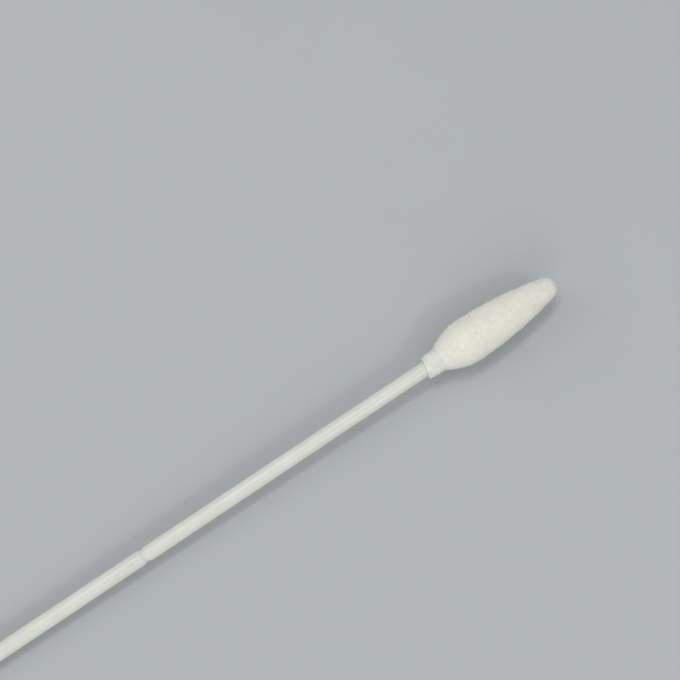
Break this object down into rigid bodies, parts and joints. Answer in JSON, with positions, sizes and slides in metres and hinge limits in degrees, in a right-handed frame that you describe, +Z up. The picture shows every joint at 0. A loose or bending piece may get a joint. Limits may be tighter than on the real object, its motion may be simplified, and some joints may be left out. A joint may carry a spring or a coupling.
{
  "type": "flocked specimen swab",
  "caption": "Slim moulded plastic shaft with a snap-off groove and a spindle-shaped head covered in short standing fibres, for picking up a specimen and breaking off into a tube.",
  "frame": {"origin": "on the plane the swab lies on, under the middle of its length", "axes": "+X along the swab from the handle to the nose of the head, +Y to its left, +Z up"},
  "size_m": [0.15, 0.0076, 0.0075],
  "materials": {
    "shaft_plastic": "white injection-moulded plastic, softly glossy and very slightly translucent",
    "adhesive": "thin cured cream-coloured adhesive",
    "flock_fibre": "fine white synthetic fibres standing on end, velvety and matt"
  },
  "bodies": {
    "root": {"shaft": "shaft_plastic", "adhesive_coat": "adhesive", "flock_tip": "flock_fibre"}
  },
  "joints": []
}
